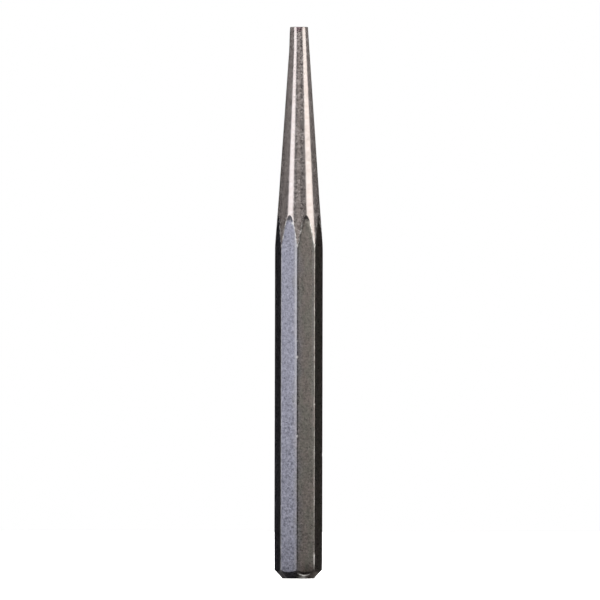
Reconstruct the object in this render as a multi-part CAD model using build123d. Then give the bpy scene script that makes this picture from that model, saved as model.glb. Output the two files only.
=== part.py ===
from build123d import *
import os
from math import cos, radians, tan

# A steel punch made from one length of octagonal bar. It stands on its striking face with the taper up.
# Z runs up the bar from the middle of the striking face, and one long corner of the bar faces -Y.

# Driving sizes: millimetres and degrees
overall_length = 125.0  # striking face to tip face
bar_across_flats = 10.0  # bare steel bar, before its finish
corner_radius = 0.35  # rounding along the bar's eight corners
tip_diameter = 3.9  # flat face at the working end
tip_edge_break = 0.1  # small bevel around the tip face, as wide as it is high
taper_half_angle = 3.92  # ground taper, measured from the axis
flare_half_angle = 4.35  # steeper last stretch of the taper, where it runs out on the bar
flare_depth = 0.38  # how far inside the flats the flare begins, measured along the radius
flat_lean = 1.17  # lean of the flats towards the taper, measured from the axis
lean_length = 9.1  # how far below the top of the flare that lean begins
striking_face_diameter = 7.2  # flat face at the hammer end
head_bevel_angle = 43.5  # bevel around the striking face, measured from the axis
coat_thickness = 0.05  # finish baked on the bar
feather_loss = 0.15  # how far below the peak of its arch the finish stops, its thin edge having broken away

# Shape of the bar, and margins that only the cutting shapes use
bar_sides = 8
step_angle = 360 / bar_sides
cut_margin = 1.0

# Worked out from the sizes above
bar_apothem = bar_across_flats / 2
coated_corner_reach = (bar_apothem + coat_thickness) / cos(radians(step_angle / 2))
cut_radius = coated_corner_reach + cut_margin
tip_radius = tip_diameter / 2
taper_top = overall_length - tip_edge_break
flare_radius = bar_apothem - flare_depth
flare_top = taper_top - (flare_radius - tip_radius) / tan(radians(taper_half_angle))
lean_start = flare_top - lean_length


def octagon(apothem):
    # a corner faces -Y
    return RegularPolygon(apothem, bar_sides, major_radius=False)


def bar(skin, below):
    # straight, with rounded corners; it runs past the tip so that the taper alone decides where the bar ends
    section = octagon(bar_apothem + skin)
    section = fillet(section.vertices(), corner_radius + skin)
    return Pos(0, 0, -below) * extrude(section, overall_length + cut_margin + below)


def spire(skin, below):
    # sharp-cornered and clear of the bar up to lean_start, where its sides begin to cut the flats
    foot_apothem = bar_apothem + skin + (lean_start + below) * tan(radians(flat_lean))
    length = overall_length + cut_margin + below
    return Pos(0, 0, -below) * extrude(octagon(foot_apothem), length, taper=flat_lean)


def turned(outline_points):
    outline = make_face(Polyline(*outline_points, close=True))
    return revolve(Plane.XZ * outline, Axis.Z)


def arch_peak(skin):
    # height at which the flare meets the middle of a leaning flat
    flare_slope = tan(radians(flare_half_angle))
    radius_at_lean_start = flare_radius + (flare_top - lean_start) * flare_slope
    return lean_start + (radius_at_lean_start - bar_apothem - skin) / (flare_slope - tan(radians(flat_lean)))


def ground_envelope():
    # the bevelled head, then clear of the bar, then the flare, the taper and the tip face
    face_radius = striking_face_diameter / 2
    flare_bottom = flare_top - (cut_radius - flare_radius) / tan(radians(flare_half_angle))
    bevel_top = (cut_radius - face_radius) / tan(radians(head_bevel_angle))
    points = [
        (0, 0),
        (face_radius, 0),
        (cut_radius, bevel_top),
        (cut_radius, flare_bottom),
        (flare_radius, flare_top),
        (tip_radius, taper_top),
        (tip_radius - tip_edge_break, overall_length),
        (0, overall_length),
    ]
    return turned(points)


def bevel_under_coat():
    # the head bevel set in by the finish; it runs below the head so that it cuts right through
    face_radius = striking_face_diameter / 2 - coat_thickness / cos(radians(head_bevel_angle))
    slope = tan(radians(head_bevel_angle))
    top = overall_length + cut_margin
    points = [
        (0, -cut_margin),
        (face_radius - cut_margin * slope, -cut_margin),
        (cut_radius, (cut_radius - face_radius) / slope),
        (cut_radius, top),
        (0, top),
    ]
    return turned(points)


def punch_body():
    # the ground shape first: above lean_start it leaves only the flats for the spire to cut
    return bar(0, cut_margin) & bevel_under_coat() & ground_envelope() & spire(0, cut_margin)


def shank_coat():
    # the finish on the flats, the corners and the head bevel; the taper is ground through it
    coated = bar(coat_thickness, cut_margin) & ground_envelope() & spire(coat_thickness, cut_margin)
    finish_top = arch_peak(coat_thickness) - feather_loss
    below_peaks = Pos(0, 0, -cut_margin) * extrude(octagon(cut_radius), finish_top + cut_margin)
    return (coated - punch_body()) & below_peaks


parts = {
    "punch_body": punch_body(),
    "shank_coat": shank_coat(),
}

os.makedirs("parts", exist_ok=True)
for name, shape in parts.items():
    solids = shape.solids()
    export_step(solids[0] if len(solids) == 1 else Compound(children=solids), f"parts/{name}.step")
    box = shape.bounding_box()
    print(name, len(solids), "solid", round(shape.volume, 2), "mm3", box.min, box.max)
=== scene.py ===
import math
import bpy
import numpy as np
from mathutils import Matrix, Vector


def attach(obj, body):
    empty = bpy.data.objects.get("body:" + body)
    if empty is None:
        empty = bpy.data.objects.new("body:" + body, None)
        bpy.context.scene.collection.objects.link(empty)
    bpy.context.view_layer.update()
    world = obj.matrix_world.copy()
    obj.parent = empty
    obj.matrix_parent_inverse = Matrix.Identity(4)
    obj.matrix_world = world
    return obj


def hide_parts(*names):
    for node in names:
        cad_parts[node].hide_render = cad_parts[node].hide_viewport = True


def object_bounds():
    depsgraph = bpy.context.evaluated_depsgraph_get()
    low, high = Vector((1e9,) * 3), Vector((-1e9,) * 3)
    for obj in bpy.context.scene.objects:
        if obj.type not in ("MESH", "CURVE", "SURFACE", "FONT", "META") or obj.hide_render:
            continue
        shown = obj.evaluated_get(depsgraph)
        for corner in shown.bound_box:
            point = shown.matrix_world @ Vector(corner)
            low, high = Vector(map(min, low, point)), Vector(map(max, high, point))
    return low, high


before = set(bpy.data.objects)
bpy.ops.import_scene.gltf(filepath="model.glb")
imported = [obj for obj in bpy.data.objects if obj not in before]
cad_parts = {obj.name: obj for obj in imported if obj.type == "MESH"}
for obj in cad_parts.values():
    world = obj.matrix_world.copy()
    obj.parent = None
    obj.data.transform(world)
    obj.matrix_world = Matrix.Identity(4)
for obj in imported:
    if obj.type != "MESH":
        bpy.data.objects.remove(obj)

cadLow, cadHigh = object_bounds()
print("frame loaded:", sorted(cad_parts))

mm = 0.001

bar = dict(  # the octagonal bar, in millimetres and degrees
    apothem=5.0,  # middle to flat
    cornerRadius=0.35,
    sides=8,
    cornerCuts=6,  # mesh steps round one corner
    flatCuts=30,  # mesh steps across one flat
    lean=1.17,  # how the flats lean in towards the taper
    leanLength=9.1,  # how far below the top of the flare that begins
)

taper = dict(  # the ground end
    tipRadius=1.95,
    tipBreak=0.1,
    halfAngle=3.92,
    flareAngle=4.35,
    flareDepth=0.38,
    rollOver=0.10,  # softness of the edge between the ground end and the flats
    archReach=12.0,  # how far below the start of the lean the arches are looked for
    archHalvings=30,
)

head = dict(  # the struck end
    faceRadius=3.6,
    bevelAngle=43.5,
)

length = (cadHigh.z - cadLow.z) / mm
halfStep = math.pi / bar["sides"]
flareRadius = bar["apothem"] - taper["flareDepth"]
taperTop = length - taper["tipBreak"]
taperSlope = math.tan(math.radians(taper["halfAngle"]))
flareSlope = math.tan(math.radians(taper["flareAngle"]))
flareTop = taperTop - (flareRadius - taper["tipRadius"]) / taperSlope
leanStart = flareTop - bar["leanLength"]
bevelSlope = math.tan(math.radians(head["bevelAngle"]))


def waves(points, seed, shortest, longest, count=48):
    # a lumpy field of height about 1: many cosine waves in random directions, added up
    rng = np.random.default_rng(seed)
    direction = rng.normal(size=(count, 3))
    direction /= np.linalg.norm(direction, axis=1, keepdims=True)
    pitch = rng.uniform(shortest, longest, count)
    phase = rng.uniform(0, 2 * np.pi, count)
    angle = points.reshape(-1, 3) @ (direction * (2 * np.pi / pitch)[:, None]).T + phase
    return (np.cos(angle).sum(axis=1) * math.sqrt(2 / count)).reshape(points.shape[:-1])


def smooth(value, low, high):
    # a soft step from 0 at low to 1 at high: three t squared less two t cubed
    t = np.clip((value - low) / (high - low), 0, 1)
    return t * t * (3 - 2 * t)


def barAngles():
    # one turn round the bar, close together on the corners: the azimuth of every column of the meshes
    width = math.tan(halfStep) * (bar["apothem"] - bar["cornerRadius"])
    edge = math.atan2(width, bar["apothem"])
    corner = np.linspace(edge - halfStep, halfStep - edge, bar["cornerCuts"] + 1)[:-1]
    flat = np.arctan(np.linspace(-1, 1, bar["flatCuts"] + 1)[:-1] * math.tan(edge)) + halfStep
    side = np.arange(bar["sides"])[:, None] * 2 * halfStep
    return (side + np.concatenate([corner, flat])[None]).ravel()


def barRadius(azimuth, height, skin):
    # distance from the axis to the bar, a skin outside the steel: apothem over cosine on a flat,
    # the far side of a small circle on a corner; above leanStart the flats step inwards
    grown = skin - np.maximum(height - leanStart, 0) * math.tan(math.radians(bar["lean"]))
    centre = (bar["apothem"] - bar["cornerRadius"]) / math.cos(halfStep)
    small = bar["cornerRadius"] + grown
    fromCorner = (azimuth + halfStep) % (2 * halfStep) - halfStep
    flat = (bar["apothem"] + grown) / np.cos(halfStep - np.abs(fromCorner))
    across = np.maximum(small**2 - (centre * np.sin(fromCorner)) ** 2, 0)
    corner = centre * np.cos(fromCorner) + np.sqrt(across)
    reach = np.arctan2(small * math.sin(halfStep), centre + small * math.cos(halfStep))
    return np.where(np.abs(fromCorner) < reach, corner, flat)


def groundRadius(height):
    # straight taper, then the steeper flare
    onTaper = taper["tipRadius"] + (taperTop - height) * taperSlope
    onFlare = flareRadius + (flareTop - height) * flareSlope
    return np.where(height > flareTop, onTaper, onFlare)


def outerRadius(azimuth, height):
    # the nearer of the ground end and the coated bar, with the edge between them rolled over
    ground = groundRadius(height)
    coated = barRadius(azimuth, height, coat["thickness"])
    near = np.maximum(taper["rollOver"] - np.abs(ground - coated), 0)
    return np.minimum(ground, coated) - near**2 / (4 * taper["rollOver"])


def archHeight(azimuth, skin):
    # where the surface leaves a bar of this skin, found by halving the height again and again
    low = np.full(azimuth.shape, leanStart - taper["archReach"])
    high = np.full(azimuth.shape, flareTop)
    for step in range(taper["archHalvings"]):
        middle = (low + high) / 2
        inside = outerRadius(azimuth, middle) > barRadius(azimuth, middle, skin)
        low = np.where(inside, middle, low)
        high = np.where(inside, high, middle)
    return low


def flatIndex(azimuth):
    # which flat an azimuth lies on, counted from +X
    return (azimuth // (2 * halfStep)).astype(int) % bar["sides"]


def ringPoints(azimuth, radius, height):
    # radius times cosine, radius times sine, and the height
    azimuth, radius, height = np.broadcast_arrays(azimuth, radius, height)
    return np.stack([radius * np.cos(azimuth), radius * np.sin(azimuth), height], axis=-1)


def ringMesh(name, rows, closeRows, marks):
    # rows of points round the bar, lowest first on the outside, joined into a closed skin of quads;
    # either the last row meets the first, or both ends close on a middle point
    count, around = rows.shape[:2]
    points = rows.reshape(-1, 3)
    column = np.arange(around)
    nextColumn = np.roll(column, -1)
    lower = np.arange(count if closeRows else count - 1)[:, None]
    upper = (lower + 1) % count
    quads = np.stack([lower * around + column, lower * around + nextColumn,
                      upper * around + nextColumn, upper * around + column], axis=-1).reshape(-1, 4)
    faces = quads.tolist()
    if not closeRows:
        first, last = len(points), len(points) + 1
        points = np.vstack([points, rows[0].mean(axis=0), rows[-1].mean(axis=0)])
        top = (count - 1) * around
        faces += np.stack([nextColumn, column, 0 * column + first], axis=-1).tolist()
        faces += np.stack([top + column, top + nextColumn, 0 * column + last], axis=-1).tolist()
    mesh = bpy.data.meshes.new(name)
    mesh.from_pydata((points * mm).tolist(), [], faces)
    for mark, values in marks.items():
        flat = np.zeros(len(points), np.float32)
        flat[: values.size] = values.ravel()
        mesh.attributes.new(mark, "FLOAT", "POINT").data.foreach_set("value", flat)
    mesh.update()
    mesh.validate()
    piece = bpy.data.objects.new(name, mesh)
    bpy.context.scene.collection.objects.link(piece)
    return piece


def shadeSmooth(piece, sharpAngle=38):
    # smooth shading, broken at edges that turn by more than sharpAngle degrees
    piece.data.polygons.foreach_set("use_smooth", [True] * len(piece.data.polygons))
    piece.data.set_sharp_from_angle(angle=math.radians(sharpAngle))


coat = dict(
    thickness=0.05,
    pebble=0.0022,  # height of the larger lumps in the finish
    pebblePitch=(0.9, 2.2),
    ragged=0.016,  # how unevenly the grinding cuts through the finish
    raggedPitch=(0.35, 1.1),
    bevelRows=22,
    shankRows=190,
    archRows=70,
    archBand=9.0,  # height under the arches that gets the close rows
    liningRows=40,
    grainFade=0.8,  # the lumps and nicks die out this near the bevel and the arches
    cornerHighlight=[0.3, 0.6, 0.4, 0.7, 0.5, 0.5, 1.0, 0.35],  # painted highlight beside each corner, counted from +X
    highlightRise=(15, 65),  # heights between which that painted highlight grows to its full strength
    cornerWear=[1.0, 1.2, 0.9, 1.3, 1.0, 1.5, 0.6, 1.0],
    peakScorch=[0.9, 1.1, 0.8, 1.0, 1.1, 1.12, 1.35, 1.0],  # heat marks at the peak of each flat's arch
    scorchBand=(2.4, 0.5),  # depths under the tallest arch where the scorch begins and is full
    nickWidth=0.30,
    nicks=[  # corner, or a place between two corners, height up the bar, depth and half length
        dict(corner=5.45, height=32.1, depth=0.018, reach=0.22),
        dict(corner=6, height=53.8, depth=0.030, reach=0.22),
        dict(corner=6, height=50.2, depth=0.050, reach=0.30),
        dict(corner=6, height=32.3, depth=0.050, reach=0.30),
        dict(corner=6, height=17.5, depth=0.030, reach=0.25),
        dict(corner=7, height=39.5, depth=0.035, reach=0.30),
        dict(corner=5, height=43.8, depth=0.030, reach=0.25),
        dict(corner=0, height=28.0, depth=0.050, reach=0.40),
        dict(corner=2, height=61.0, depth=0.040, reach=0.30),
        dict(corner=3, height=14.5, depth=0.060, reach=0.45),
        dict(corner=4, height=36.0, depth=0.030, reach=0.30),
        dict(corner=1, height=47.0, depth=0.045, reach=0.35),
    ],
    rubFade=0.5,
    rubs=[  # stretches of a corner rubbed through to the metal
        dict(corner=6, low=74.9, high=79.5, width=0.16),
        dict(corner=7, low=3.0, high=5.9, width=0.17),
        dict(corner=3, low=30.0, high=36.5, width=0.18),
        dict(corner=1, low=8.0, high=11.0, width=0.20),
    ],
    wornFeet=[0.45, 0.35, 0.15, 0.45, 0.2, 0.22, 1.0, 0.3],  # each flat's wear where it meets the bevel
    lensMiddle=0.91,  # where across a flat its wear is widest, 1 being the middle
    lensPower=0.8,
    crescentHighlight=dict(  # a painted highlight: a bright bow on the bevel laid as bare metal, over a patch of real wear, in depths under its top
        start=0.10, drop=0.46, sag=0.26, thin=0.08, thick=0.12, shine=0.80,
        patch=0.50, patchFrom=0.95, patchTo=1.25),
    scoopDepth=0.13,  # how far the most worn flat is rolled in at its foot
    scoopHeight=2.3,  # how far up that reaches
)
faceUnderCoat = head["faceRadius"] - coat["thickness"] / math.cos(math.radians(head["bevelAngle"]))


def nickField(points):
    # how much each point is knocked in, as a bell round the middle of every nick
    total = np.zeros(points.shape[:-1])
    for nick in coat["nicks"]:
        angle = np.array(nick["corner"] * 2 * halfStep)
        middle = ringPoints(angle, barRadius(angle, 0.0, coat["thickness"]), nick["height"])
        away = (points - middle) / np.array([coat["nickWidth"], coat["nickWidth"], nick["reach"]])
        total += nick["depth"] * np.exp(-(away**2).sum(axis=-1))
    return total


def footWear(azimuth):
    # each flat's own wear, and a lens across the flat that is widest a little to one side of its middle
    fromMiddle = azimuth % (2 * halfStep) / halfStep - coat["lensMiddle"]
    lens = np.maximum(np.cos(fromMiddle * np.pi / 2), 0) ** coat["lensPower"]
    return np.array(coat["wornFeet"])[flatIndex(azimuth)], lens


def scoop(azimuth, height, bevelTop):
    # how far hammering has rolled the foot of a flat in: most at the top of the bevel, fading both ways
    wear, lens = footWear(azimuth)
    above = 1 - np.clip((height - bevelTop) / coat["scoopHeight"], 0, 1)
    return coat["scoopDepth"] * wear * lens**0.5 * above**2 * smooth(height / bevelTop, 0.4, 1)


def coatRows():
    # the finish as one closed skin: up the bevel and the shank, then back down its lining
    azimuth = barAngles()
    thickness = coat["thickness"]
    outline = barRadius(azimuth, 0.0, thickness)
    bevelTop = (outline - head["faceRadius"]) / bevelSlope
    archTop = archHeight(azimuth, 0.0)
    # the bevel: straight lines from the striking face out to the bar
    t = np.linspace(0, 1, coat["bevelRows"])[:, None]
    bevelRadius = head["faceRadius"] + t * (outline - head["faceRadius"])
    bevelRadius = bevelRadius - scoop(azimuth, t * bevelTop, bevelTop)
    bevel = ringPoints(azimuth, bevelRadius, t * bevelTop)
    # the shank: evenly spaced rows, then close rows that end on the arches
    bandFoot = archTop.min() - coat["archBand"] + 0 * archTop
    t = np.linspace(0, 1, coat["shankRows"] + 1)[1:, None]
    lowRows = bevelTop + t * (bandFoot - bevelTop)
    t = np.linspace(0, 1, coat["archRows"] + 1)[1:, None]
    height = np.concatenate([lowRows, bandFoot + t * (archTop - bandFoot)])
    upBar = height
    outer = outerRadius(azimuth, height)
    surface = ringPoints(azimuth, outer, height)
    ground = groundRadius(height) - barRadius(azimuth, height, thickness)
    ragged = waves(surface, 5, *coat["raggedPitch"]) * coat["ragged"] * (1 - smooth(ground, 0.02, 0.09))
    cover = np.clip((outer - barRadius(azimuth, height, 0.0) + ragged) / thickness, 0, 1)
    scorchLow, scorchFull = [archTop.max() - depth for depth in coat["scorchBand"]]
    onPeak = smooth(height, scorchLow, scorchFull) * np.array(coat["peakScorch"])[flatIndex(azimuth)]
    grain = waves(surface, 11, *coat["pebblePitch"])
    knocked = nickField(surface)
    fade = smooth(height, bevelTop, bevelTop + coat["grainFade"])
    fade = fade * smooth(archTop - height, 0, coat["grainFade"])
    radius = outer + (coat["pebble"] * grain - knocked) * fade - scoop(azimuth, height, bevelTop)
    shank = ringPoints(azimuth, radius, height)
    # the lining: the bare bar, from the arches down
    bare = barRadius(azimuth, 0.0, 0.0)
    bevelIn = (bare - faceUnderCoat) / bevelSlope
    t = np.linspace(0.99, 0, coat["liningRows"])[:, None] ** 2
    height = bevelIn + t * (archTop - bevelIn)
    liningRadius = barRadius(azimuth, height, 0.0) - scoop(azimuth, height, bevelTop)
    lining = ringPoints(azimuth, liningRadius, height)
    foot = ringPoints(azimuth, faceUnderCoat, 0.0 * azimuth)[None]
    rows = np.concatenate([bevel, shank, lining, foot])

    # wear: the corners, the stretches rubbed bare and the bevel; one side of each corner gets a painted
    # highlight, and the bevel's bright bow is a painted highlight too
    cornerNumber = ((azimuth + halfStep) // (2 * halfStep)).astype(int) % bar["sides"]
    fromCorner = ((azimuth + halfStep) % (2 * halfStep) - halfStep) * bar["apothem"]
    onCorner = (1 - smooth(np.abs(fromCorner), 0.10, 0.30)) * np.array(coat["cornerWear"])[cornerNumber]
    beside = smooth(-fromCorner, 0.12, 0.30) * (1 - smooth(-fromCorner, 0.40, 0.80))
    gleam = beside * np.array(coat["cornerHighlight"])[cornerNumber]
    gleam = gleam * (0.2 + 0.8 * smooth(upBar, *coat["highlightRise"]))
    below = bevelTop - bevel[..., 2]
    wear, lens = footWear(azimuth)
    # the bow is a painted highlight, and the patch below it is real wear
    bow = coat["crescentHighlight"]
    fromBow = below - bow["start"] - wear * (bow["drop"] + bow["sag"] * lens)
    crescentHighlight = np.exp(-((fromBow / (bow["thin"] + bow["thick"] * lens)) ** 2))
    patch = bow["patch"] * lens * smooth(below, bow["patchFrom"], bow["patchTo"])
    bevelWearAndHighlight = wear * (bow["shine"] * lens**0.7 * crescentHighlight + patch)
    rubbed = 0 * cover
    for rub in coat["rubs"]:
        near = (cornerNumber == rub["corner"]) * np.exp(-((fromCorner / rub["width"]) ** 2))
        starts = smooth(upBar, rub["low"], rub["low"] + coat["rubFade"])
        ends = smooth(upBar, rub["high"] - coat["rubFade"], rub["high"])
        rubbed += near * starts * (1 - ends)
    quiet = 0 * lining[..., 0]
    flush = 0 * bevel[..., 0]
    marks = dict(
        cover=[flush + 1, cover],
        onPeak=[flush, onPeak],
        onCorner=[flush + onCorner, onCorner + 0 * cover],
        rubbed=[flush, rubbed],
        gleam=[flush, gleam],
        nicked=[flush, knocked],
        bevelWearAndHighlight=[bevelWearAndHighlight, 0 * knocked],
    )
    marks = {name: np.concatenate(parts + [quiet, quiet[:1]]) for name, parts in marks.items()}
    return rows, marks


rows, marks = coatRows()
shankCoat = ringMesh("shankCoat", rows, True, marks)
shadeSmooth(shankCoat)
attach(shankCoat, "root")
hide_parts("shank_coat")
print("coat built:", len(shankCoat.data.polygons), "faces")

steel = dict(
    faceRows=8,
    bevelRows=11,
    coreRows=40,
    coneRows=250,
    tipRows=7,
    innerRing=0.15,  # smallest ring of both end faces, as a share of the edge
    crowding=1.15,  # draws the rows of the cone towards the arches
    ringHeight=0.0010,  # grinding rings left on the taper
    ringPitch=(0.25, 0.9),
    ringSqueeze=0.12,  # squeezing the pattern inwards stretches it round the cone
    clearance=0.004,  # hidden core kept inside the coat
    burr=0.020,  # uneven lip round the tip
    burrPitch=(0.8, 2.6),
    swell=0.15,  # one side of the tip knocked outwards
    swellSide=190,
    swellSpread=48,
    swellRise=(119.5, 124),
    farFromFinish=9,  # depth given to every point off the cone
)


def steelRows():
    # the steel as one closed skin: the striking face, the core inside the finish, the cone and the tip
    azimuth = barAngles()
    archTop = archHeight(azimuth, 0.0)
    inset = barRadius(azimuth, 0.0, 0.0) - steel["clearance"]
    bevelTop = (inset - faceUnderCoat) / bevelSlope
    t = np.linspace(steel["innerRing"], 1, steel["faceRows"])[:, None]
    face = ringPoints(azimuth, t * faceUnderCoat, 0 * t)
    t = np.linspace(0, 1, steel["bevelRows"])[1:, None]
    height = t * bevelTop
    bevelRadius = faceUnderCoat + t * (inset - faceUnderCoat) - scoop(azimuth, height, bevelTop)
    bevel = ringPoints(azimuth, bevelRadius, height)
    t = np.linspace(0, 1, steel["coreRows"])[1:-1, None] ** 2
    height = bevelTop + t * (archTop - bevelTop)
    coreRadius = barRadius(azimuth, height, 0.0) - steel["clearance"] - scoop(azimuth, height, bevelTop)
    core = ringPoints(azimuth, coreRadius, height)
    # the ground end: rows follow the arches at the bottom and lie level at the tip
    t = (np.linspace(0, 1, steel["coneRows"]) ** steel["crowding"])[:, None]
    height = archTop + t * (taperTop - archTop)
    radius = outerRadius(azimuth, height)
    squeezed = ringPoints(azimuth, radius * steel["ringSqueeze"], height)
    rings = waves(squeezed, 21, *steel["ringPitch"], count=64)
    fade = smooth(t, 0, 0.02) * (1 - smooth(t, 0.99, 1))
    fromSwell = (np.degrees(azimuth) - steel["swellSide"] + 180) % 360 - 180
    swell = steel["swell"] * np.exp(-((fromSwell / steel["swellSpread"]) ** 2))
    radius = radius + steel["ringHeight"] * rings * fade + swell * smooth(height, *steel["swellRise"])
    cone = ringPoints(azimuth, radius, height)
    rim = ringPoints(azimuth, 0 * azimuth + taper["tipRadius"], 0 * azimuth)
    lip = np.clip(waves(rim, 8, *steel["burrPitch"]), -1, 1) * steel["burr"]
    tipRadius = taper["tipRadius"] - taper["tipBreak"] + lip + swell
    t = np.linspace(1, steel["innerRing"], steel["tipRows"])[:, None]
    tip = ringPoints(azimuth, t * tipRadius, length + 0 * t)
    rows = np.concatenate([face, bevel, core, cone, tip])
    # how near each point is to the finish, in millimetres of depth
    edge = np.zeros(rows.shape[:2]) + steel["farFromFinish"]
    start = len(face) + len(bevel) + len(core)
    gap = barRadius(azimuth, height, coat["thickness"]) - groundRadius(height)
    edge[start:start + len(cone)] = gap
    return rows, dict(edge=edge)


rows, marks = steelRows()
punchSteel = ringMesh("punchSteel", rows, False, marks)
shadeSmooth(punchSteel)
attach(punchSteel, "root")
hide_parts("punch_body")
print("steel built:", len(punchSteel.data.polygons), "faces")


class Flow:
    # a socket that takes part in ordinary sums, each of which adds a Math node
    def __init__(self, sheet, socket):
        self.sheet, self.socket = sheet, socket

    def sum(self, operation, first, second):
        return self.sheet.node("ShaderNodeMath", dict(operation=operation), {0: first, 1: second})

    def __add__(self, other):
        return self.sum("ADD", self, other)

    def __sub__(self, other):
        return self.sum("SUBTRACT", self, other)

    def __rsub__(self, other):
        return self.sum("SUBTRACT", other, self)

    def __mul__(self, other):
        return self.sum("MULTIPLY", self, other)

    __radd__, __rmul__ = __add__, __mul__

    def atLeast(self, other):
        return self.sum("MAXIMUM", self, other)


class Sheet:
    # the node tree of a material or of the surroundings;
    # place is where a point lies, or which way it is seen
    def __init__(self, owner, unit):
        owner.use_nodes = True
        self.owner, self.tree = owner, owner.node_tree
        self.place = self.node("ShaderNodeTexCoord", {}, {}, "Object")
        self.place = self.node("ShaderNodeVectorMath", dict(operation="SCALE"),
                               {0: self.place, "Scale": 1 / unit})

    def node(self, kind, settings, inputs, output=0):
        made = self.tree.nodes.new(kind)
        for key, value in settings.items():
            setattr(made, key, value)
        for key, value in inputs.items():
            self.feed(made.inputs[key], value)
        return None if output is None else Flow(self, made.outputs[output])

    def feed(self, socket, value):
        if isinstance(value, Flow):
            self.tree.links.new(value.socket, socket)
        else:
            socket.default_value = value

    def noise(self, scale, detail=2.0, rough=0.5, stretch=(1, 1, 1), shift=(0, 0, 0)):
        where = self.node("ShaderNodeMapping", {},
                          {"Vector": self.place, "Scale": stretch, "Location": shift})
        return self.node("ShaderNodeTexNoise", {},
                         {"Vector": where, "Scale": scale, "Detail": detail, "Roughness": rough})

    def between(self, value, low, high, toLow=0.0, toHigh=1.0):
        # a soft step from toLow to toHigh as the value goes from low to high
        return self.node("ShaderNodeMapRange", dict(interpolation_type="SMOOTHSTEP"),
                         {"Value": value, "From Min": low, "From Max": high,
                          "To Min": toLow, "To Max": toHigh})

    def along(self, axis):
        return self.node("ShaderNodeSeparateXYZ", {}, {0: self.place}, axis)

    def blend(self, factor, first, second):
        return self.node("ShaderNodeMix", dict(data_type="RGBA"), {0: factor, 6: first, 7: second}, 2)

    def mark(self, name):
        return self.node("ShaderNodeAttribute", dict(attribute_name=name), {}, "Fac")

    def finish(self, piece, **inputs):
        shader = self.tree.nodes["Principled BSDF"]
        for key, value in inputs.items():
            self.feed(shader.inputs[key], value)
        piece.data.materials.append(self.owner)


coatLook = dict(
    # slate is partly painted light, the cool reflection on the -X side; brown and olive are the finish's own
    # tones
    slateDark=(0.072, 0.071, 0.090, 1),
    slateLight=(0.313, 0.305, 0.360, 1),
    brownDark=(0.112, 0.099, 0.093, 1),
    brownLight=(0.345, 0.300, 0.280, 1),
    oliveDark=(0.104, 0.102, 0.092, 1),
    oliveLight=(0.300, 0.288, 0.258, 1),
    # colour of the painted highlight beside the corners
    gleam=(0.330, 0.320, 0.340, 1),
    scorched=(0.050, 0.043, 0.044, 1),
    bare=(0.62, 0.60, 0.58, 1),
    roughness=(0.27, 0.36),
    grainSpread=(15, 60, 0.14, 0.19),  # two heights, and how soft the grain is at each
    sideLightTint=(-1.6, 1.6),  # where across the bar slate gives way to brown: a painted light tint, cool on -X, warm on +X
    metal=0.97,
    bump=(0.6, 0.00003),
)


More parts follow.
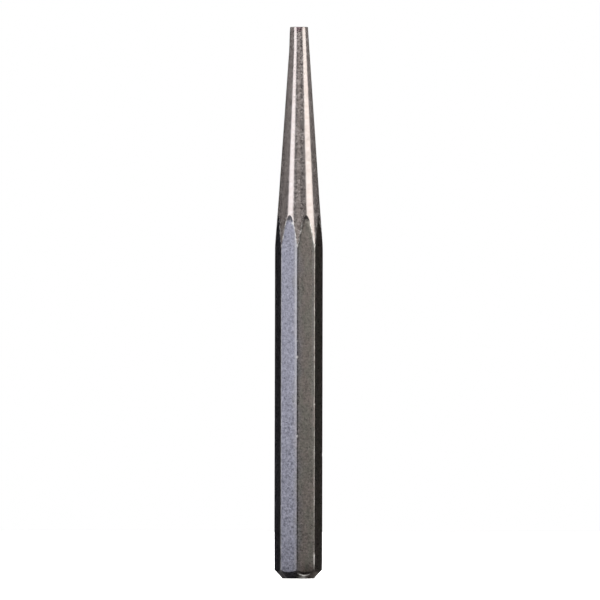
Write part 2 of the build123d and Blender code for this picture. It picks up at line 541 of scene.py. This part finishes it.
def finishCoat(piece):
    # two tones of oxide mixed by a fine grain, with the wear laid over them
    s = Sheet(bpy.data.materials.new("satinDarkCoat"), mm)
    worms = s.noise(1.9, 2.0, 0.55)
    grain = s.noise(2.4, 2.0, 0.65, (1, 1, 1), (4, 9, 2))
    cloud = s.noise(0.16, 2.0, 0.5)
    # the grain is coarser towards the struck end
    spread = s.between(s.along("Z"), *coatLook["grainSpread"])
    texture = worms * 0.45 + grain * 0.55
    tone = s.node("ShaderNodeMapRange", {},
                  {"Value": texture, "From Min": 0.5 - spread, "From Max": spread + 0.5})
    slate = s.blend(tone, coatLook["slateDark"], coatLook["slateLight"])
    brown = s.blend(tone * 0.7 + 0.12, coatLook["brownDark"], coatLook["brownLight"])
    olive = s.blend(tone * 0.7 + 0.12, coatLook["oliveDark"], coatLook["oliveLight"])
    patch = s.noise(0.42, 2.0, 0.5, (1, 1, 0.35), (2, 7, 4))
    brown = s.blend(s.between(patch, 0.40, 0.60) * 0.7, brown, olive)
    # painted light tint: slate on the -X side stands in for the cool light's reflection, the finish's own
    # brown on +X
    side = s.between(s.along("X") + (cloud - 0.5) * 3.0, *coatLook["sideLightTint"])
    colour = s.blend(side, slate, brown)
    rub = s.noise(1.9, 3.0, 0.65, (1, 1, 0.5), (3, 1, 7))
    # painted highlight on one side of each corner, stronger higher up the bar
    colour = s.blend(s.mark("gleam") * s.between(rub, 0.25, 0.65, 0.45, 0.95), colour, coatLook["gleam"])
    # at the peaks of the arches the thinned finish is scorched in spots
    spots = s.noise(2.0, 2.0, 0.7, (1, 1, 1), (7, 3, 5))
    thin = 1 - s.between(s.mark("cover"), 0.35, 0.98)
    burnt = thin * 0.30 + (spots - 0.5) * 2.0 + s.mark("onPeak") * 0.70
    scorch = s.between(burnt, 0.50, 0.92) * s.mark("onPeak")
    colour = s.blend(scorch * 0.75, colour, coatLook["scorched"])
    # rubbed to bare metal at the thin edge, along the corners, in the nicks and on the bevel; the bright bow
    # on the bevel is a painted highlight laid as bare metal
    rim = (1 - s.between(s.mark("cover"), 0.15, 0.75)) * s.between(rub, 0.30, 0.6)
    rim = rim * (1 - s.mark("onPeak") * 0.8)
    worn = s.between(s.mark("onCorner") * 0.40 + rub * 0.80, 0.72, 0.95) * 0.5
    nick = s.between(s.mark("nicked"), 0.012, 0.030)
    # the bevel's painted highlight bow and its real wear, both shown as bare metal
    bevelWearAndHighlight = s.between(s.mark("bevelWearAndHighlight") + (rub - 0.5) * 0.15, 0.08, 0.70)
    rubbed = s.mark("rubbed") * s.between(rub, 0.2, 0.55, 0.4, 0.8)
    dull = bevelWearAndHighlight.atLeast(nick * 0.6).atLeast(rim * 0.9).atLeast(rubbed)
    colour = s.blend(worn.atLeast(dull), colour, coatLook["bare"])
    metal = coatLook["metal"] - dull * 0.55
    roughness = s.between(grain, 0.3, 0.7, *coatLook["roughness"]) + scorch * 0.2
    strength, distance = coatLook["bump"]
    bump = s.node("ShaderNodeBump", {}, {"Strength": strength, "Distance": distance, "Height": texture})
    s.finish(piece, **{"Base Color": colour, "Roughness": roughness, "Metallic": metal, "Normal": bump})


steelLook = dict(
    dark=(0.405, 0.352, 0.338, 1),
    light=(0.462, 0.412, 0.398, 1),
    stain=(0.290, 0.245, 0.232, 1),
    tempered=(0.270, 0.170, 0.200, 1),
    roughness=(0.14, 0.23),
    metal=(0.856, 0.795),  # at the shank, and at the tip where the grind is coarser
    frontFade=(-1.2, 0.0),  # from the front of the taper to its middle
    crownLeft=(-2.1, -0.5),  # soft edges of the band down the front
    crownRight=(0.8, 2.2),
    hotHeight=(1.3, 0.7),  # depths under the tip where the colour begins and is full
    hotLeft=(-0.8, -0.4),
    hotRight=(0.5, 0.8),
    edgeFade=(0.10, 0.42),  # depths under the finish over which the coarse grind ends
    ripple=0.05,  # unevenness all round the taper
    grit=0.17,  # fine grain on the band down the front
    crownDim=0.016,
    mottleDim=0.06,
    bump=(0.5, 0.00003),
)


def finishSteel(piece):
    # ground steel: stretched noise for the wheel marks, clouded with stain
    s = Sheet(bpy.data.materials.new("groundToolSteel"), mm)
    rings = s.noise(1.0, 2.0, 0.6, (0.35, 0.35, 1.6))
    dashes = s.noise(1.0, 2.0, 0.7, (0.9, 0.9, 1.5), (5, 2, 1))
    cloud = s.noise(0.30, 3.0, 0.55, (1, 1, 1), (1, 8, 3))
    tone = s.between(rings * 0.45 + dashes * 0.55, 0.38, 0.62)
    colour = s.blend(tone, steelLook["dark"], steelLook["light"])
    colour = s.blend(s.between(cloud, 0.56, 0.78, 0.0, 0.55), colour, steelLook["stain"])
    # the band of the taper that faces the front, soft on both sides
    aside = s.along("X")
    front = 1 - s.between(s.along("Y"), *steelLook["frontFade"])
    crown = front * s.between(aside, *steelLook["crownLeft"])
    crown = crown * (1 - s.between(aside, *steelLook["crownRight"]))
    # the last millimetre at the tip has run purple on one patch
    hotFrom, hotFull = [length - depth for depth in steelLook["hotHeight"]]
    hot = s.between(s.along("Z"), hotFrom, hotFull) * s.between(aside, *steelLook["hotLeft"])
    hot = hot * (1 - s.between(aside, *steelLook["hotRight"]))
    colour = s.blend(hot * 0.65, colour, steelLook["tempered"])
    metal = s.between(s.along("Z"), flareTop - 4, length, *steelLook["metal"])
    # the last of the grind beside the finish is coarser and scatters more light
    beside = 1 - s.between(s.mark("edge"), *steelLook["edgeFade"])
    mottle = s.noise(1.5, 2.0, 0.7, (1, 1, 1.2), (4, 4, 9))
    stained = beside * s.between(mottle, 0.46, 0.60) * (crown * 0.4 + 0.15)
    colour = s.blend(stained, colour, steelLook["stain"])
    # the front keeps a fine grain from the wheel all the way down
    grit = s.between(s.noise(1.6, 2.0, 0.6, (1, 1, 1.3), (2, 7, 5)), 0.38, 0.62)
    metal = metal - beside * crown * s.between(mottle, 0.38, 0.55, steelLook["mottleDim"], 0.0)
    metal = metal + (0.5 - tone) * steelLook["ripple"] + (0.5 - grit) * crown * steelLook["grit"]
    metal = metal - crown * steelLook["crownDim"]
    roughness = s.between(dashes, 0.32, 0.72, *steelLook["roughness"])
    strength, distance = steelLook["bump"]
    bump = s.node("ShaderNodeBump", {},
                  {"Strength": strength, "Distance": distance, "Height": rings * 0.5 + dashes * 0.5})
    s.finish(piece, **{"Base Color": colour, "Roughness": roughness, "Metallic": metal, "Normal": bump})


finishCoat(shankCoat)
finishSteel(punchSteel)
print("finishes made")

studio = dict(
    azimuth=3.1,  # degrees to the right of the front corner
    distance=3.0,
    lookHeight=0.0631,
    lookAside=0.00027,
    frameWidth=0.13603,
    sensorWidth=36,
    clip=(0.1, 20),
    lean=0.12,
    left=dict(angle=-46.5, halfWidth=15.0, distance=0.38, low=-0.010, high=0.5,
              power=2.35, colour=(0.955, 0.985, 1.01)),
    right=dict(angle=63.5, halfWidth=21.5, distance=0.38, low=-0.010, high=0.5,
               power=2.35, colour=(0.97, 0.975, 0.94)),
    front=dict(angle=-3.0, halfWidth=11.0, distance=0.55, low=0.0, high=0.5,
               power=0.24, colour=(1.0, 0.93, 0.88)),
    aside=dict(angle=-94.0, halfWidth=15.0, distance=0.38, low=0.0, high=0.5,
               power=0.07, colour=(1.0, 0.93, 0.90)),
    overhead=dict(size=1.4, height=1.0, power=46),
    floor=dict(radius=0.6, sides=96, gap=0.00001, grey=0.86, roughness=0.9),
    surround=0.010,  # the dark room
    surroundColour=(1.0, 0.93, 0.88, 1),
    tableGlow=0.30,  # the pale table, as the polished faces see it
    glowBegins=(0.17, 0.36),  # how far down a ray points where the glow begins and is full
    glowFades=(0.52, 0.82),
)


def direction(azimuth):
    # level, from the punch outwards: sine of the azimuth along X, minus its cosine along Y
    return Vector((math.sin(math.radians(azimuth)), -math.cos(math.radians(azimuth)), 0))


def panel(name, setup):
    # an upright soft box facing the punch; power is its brightness in the mirror of the steel
    towards = direction(studio["azimuth"] + setup["angle"])
    width = 2 * setup["distance"] * math.tan(math.radians(setup["halfWidth"]))
    tall = setup["high"] - setup["low"]
    light = bpy.data.lights.new(name, "AREA")
    light.shape, light.size, light.size_y = "RECTANGLE", width, tall
    light.energy = setup["power"] * math.pi * width * tall
    light.color = setup["colour"]
    lamp = bpy.data.objects.new(name, light)
    bpy.context.scene.collection.objects.link(lamp)
    lamp.location = towards * setup["distance"] + Vector((0, 0, (setup["low"] + setup["high"]) / 2))
    lamp.rotation_mode = "QUATERNION"
    lamp.rotation_quaternion = (-towards).to_track_quat("-Z", "Y")
    lamp.visible_camera = False


panel("leftSoftbox", studio["left"])
panel("rightSoftbox", studio["right"])
panel("frontFill", studio["front"])
panel("sideFill", studio["aside"])

overheadLight = bpy.data.lights.new("overheadSoftbox", "AREA")
overheadLight.size = studio["overhead"]["size"]
overheadLight.energy = studio["overhead"]["power"]
overhead = bpy.data.objects.new("overheadSoftbox", overheadLight)
bpy.context.scene.collection.objects.link(overhead)
overhead.location = (0, 0, studio["overhead"]["height"])
overhead.visible_camera = False
overhead.visible_glossy = False

ground = studio["floor"]
turn = np.linspace(0, 2 * np.pi, ground["sides"] + 1)[:-1]
rim = [ground["radius"] * np.cos(turn), ground["radius"] * np.sin(turn), 0 * turn + cadLow.z - ground["gap"]]
floorMesh = bpy.data.meshes.new("floor")
floorMesh.from_pydata(np.stack(rim, axis=-1).tolist(), [], [list(range(ground["sides"]))])
floor = bpy.data.objects.new("floor", floorMesh)
bpy.context.scene.collection.objects.link(floor)
floor.visible_glossy = False  # kept out of mirror reflections, so that the bevel stays dark
paper = bpy.data.materials.new("paleFloor")
paper.use_nodes = True
paperShader = paper.node_tree.nodes["Principled BSDF"]
paperShader.inputs["Base Color"].default_value = [ground["grey"]] * 3 + [1]
paperShader.inputs["Roughness"].default_value = ground["roughness"]
floorMesh.materials.append(paper)

world = bpy.data.worlds.new("surround")
bpy.context.scene.world = world
s = Sheet(world, 1.0)
s.tree.nodes.clear()
s.place = s.node("ShaderNodeTexCoord", {}, {}, "Generated")
# a faint glow below the horizon, stronger towards +X, so that the back can be read from above
down = 0 - s.along("Z")
side = s.between(s.along("X"), -0.9, 0.9, 0.45, 1.0)
glow = s.between(down, *studio["glowBegins"]) * s.between(down, *studio["glowFades"], 1.0, 0.10)
glow = glow * side * studio["tableGlow"]
room = s.node("ShaderNodeBackground", {},
              {"Color": studio["surroundColour"], "Strength": glow + studio["surround"]})
white = s.node("ShaderNodeBackground", {}, {"Color": (1, 1, 1, 1), "Strength": 1.0})
toCamera = s.node("ShaderNodeLightPath", {}, {}, "Is Camera Ray")
seen = s.node("ShaderNodeMixShader", {}, {0: toCamera, 1: room, 2: white})
s.node("ShaderNodeOutputWorld", {}, {"Surface": seen}, None)

longLens = bpy.data.cameras.new("longLens")
longLens.sensor_width = studio["sensorWidth"]
longLens.lens = studio["sensorWidth"] / 2 * studio["distance"] / (studio["frameWidth"] / 2)
longLens.clip_start, longLens.clip_end = studio["clip"]
camera = bpy.data.objects.new("camera", longLens)
bpy.context.scene.collection.objects.link(camera)
back = direction(studio["azimuth"])
sideways = direction(studio["azimuth"] + 90)
lookUp = Vector((0, 0, studio["lookHeight"]))
camera.location = back * studio["distance"] + sideways * studio["lookAside"] + lookUp
camera.rotation_mode = "QUATERNION"
tilt = Matrix.Rotation(math.radians(studio["lean"]), 4, "Z").to_quaternion()
camera.rotation_quaternion = (-back).to_track_quat("-Z", "Y") @ tilt
bpy.context.scene.camera = camera
bpy.context.scene.view_settings.view_transform = "Standard"
print("studio set")
